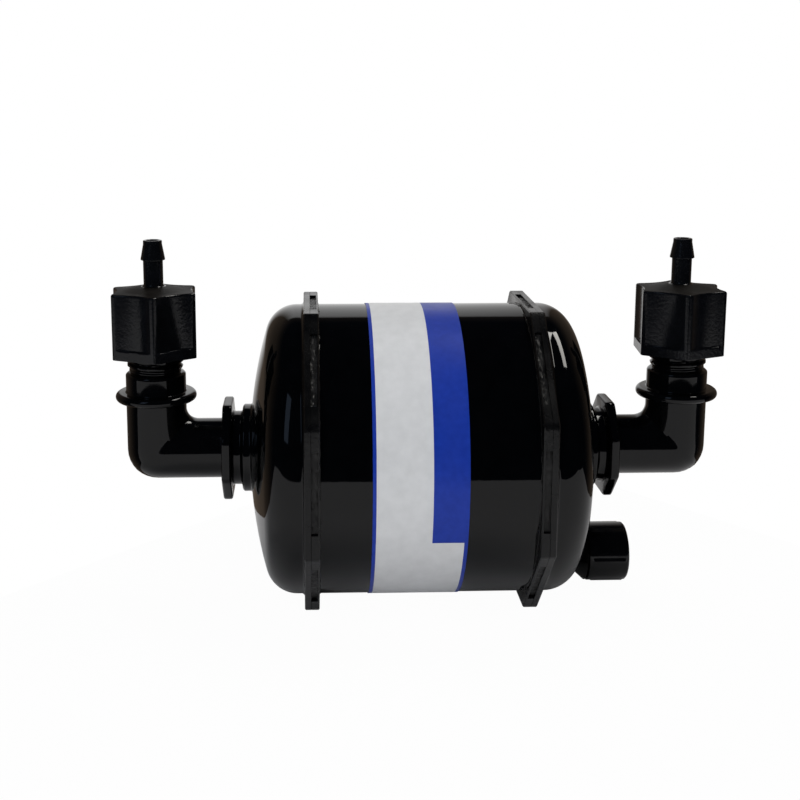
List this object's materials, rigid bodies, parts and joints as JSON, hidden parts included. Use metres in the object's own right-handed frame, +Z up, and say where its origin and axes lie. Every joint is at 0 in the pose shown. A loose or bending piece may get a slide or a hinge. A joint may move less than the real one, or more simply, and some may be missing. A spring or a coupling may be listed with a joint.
{
  "type": "capsule filter",
  "caption": "Black inline capsule filter: domed welded shell round a pleated element, two elbow ports with hexagonal hose-barb nuts and a screw vent.",
  "frame": {"origin": "middle of the footprint, on the level of the lower flats of the two weld flanges", "axes": "+X along the capsule axis towards the inlet end, +Z up along the threaded ports, -Y towards the front of the label"},
  "size_m": [0.1352, 0.0658, 0.0797],
  "materials": {
    "shell_black": "glossy moulded black plastic",
    "elbow_black": "glossy moulded black plastic",
    "nut_black": "satin moulded dark plastic",
    "vent_black": "semi-gloss moulded black plastic",
    "seal_rubber": "matt black rubber",
    "label_film": "pale satin label film with a blue panel",
    "media_white": "white pleated non-woven sheet",
    "element_white": "natural white plastic"
  },
  "bodies": {
    "housing": {"barrel": "shell_black", "inlet_end_cap": "shell_black", "outlet_end_cap": "shell_black", "label": "label_film", "inlet_elbow": "elbow_black", "outlet_elbow": "elbow_black", "pleated_media": "media_white", "core_tube": "element_white", "outer_cage": "element_white", "closed_end_disc": "element_white", "open_end_disc": "element_white", "nozzle_ring": "seal_rubber"},
    "inlet_gasket": {"inlet_nut_gasket": "seal_rubber"},
    "inlet_nut": {"inlet_barb_nut": "nut_black"},
    "outlet_gasket": {"outlet_nut_gasket": "seal_rubber"},
    "outlet_nut": {"outlet_barb_nut": "nut_black"},
    "vent_washer": {"vent_seal": "seal_rubber"},
    "vent_knob": {"vent_cap": "vent_black"}
  },
  "joints": [
    {"name": "inlet_nut_lift", "type": "slide", "parent": "housing", "child": "inlet_gasket", "axis": [0, 0, 1], "range_m": [0, 0.00901]},
    {"name": "inlet_nut_turn", "type": "hinge", "parent": "inlet_gasket", "child": "inlet_nut", "pos_m": [0.05815, 0, 0.0655], "axis": [0, 0, 1], "range_deg": [0, 2160]},
    {"name": "outlet_nut_lift", "type": "slide", "parent": "housing", "child": "outlet_gasket", "axis": [0, 0, 1], "range_m": [0, 0.00901]},
    {"name": "outlet_nut_turn", "type": "hinge", "parent": "outlet_gasket", "child": "outlet_nut", "pos_m": [-0.05815, 0, 0.0655], "axis": [0, 0, 1], "range_deg": [0, 2160]},
    {"name": "vent_cap_lift", "type": "slide", "parent": "housing", "child": "vent_washer", "axis": [1, 0, 0], "range_m": [0, 0.00376]},
    {"name": "vent_cap_turn", "type": "hinge", "parent": "vent_washer", "child": "vent_knob", "pos_m": [0.04325, 0, 0.0075], "axis": [1, 0, 0], "range_deg": [0, 1080]}
  ],
  "couplings": [
    {"joint": "inlet_nut_lift", "follows": "inlet_nut_turn", "m_per_rad": 0.00023873},
    {"joint": "outlet_nut_lift", "follows": "outlet_nut_turn", "m_per_rad": 0.00023873},
    {"joint": "vent_cap_lift", "follows": "vent_cap_turn", "m_per_rad": 0.00019894}
  ]
}
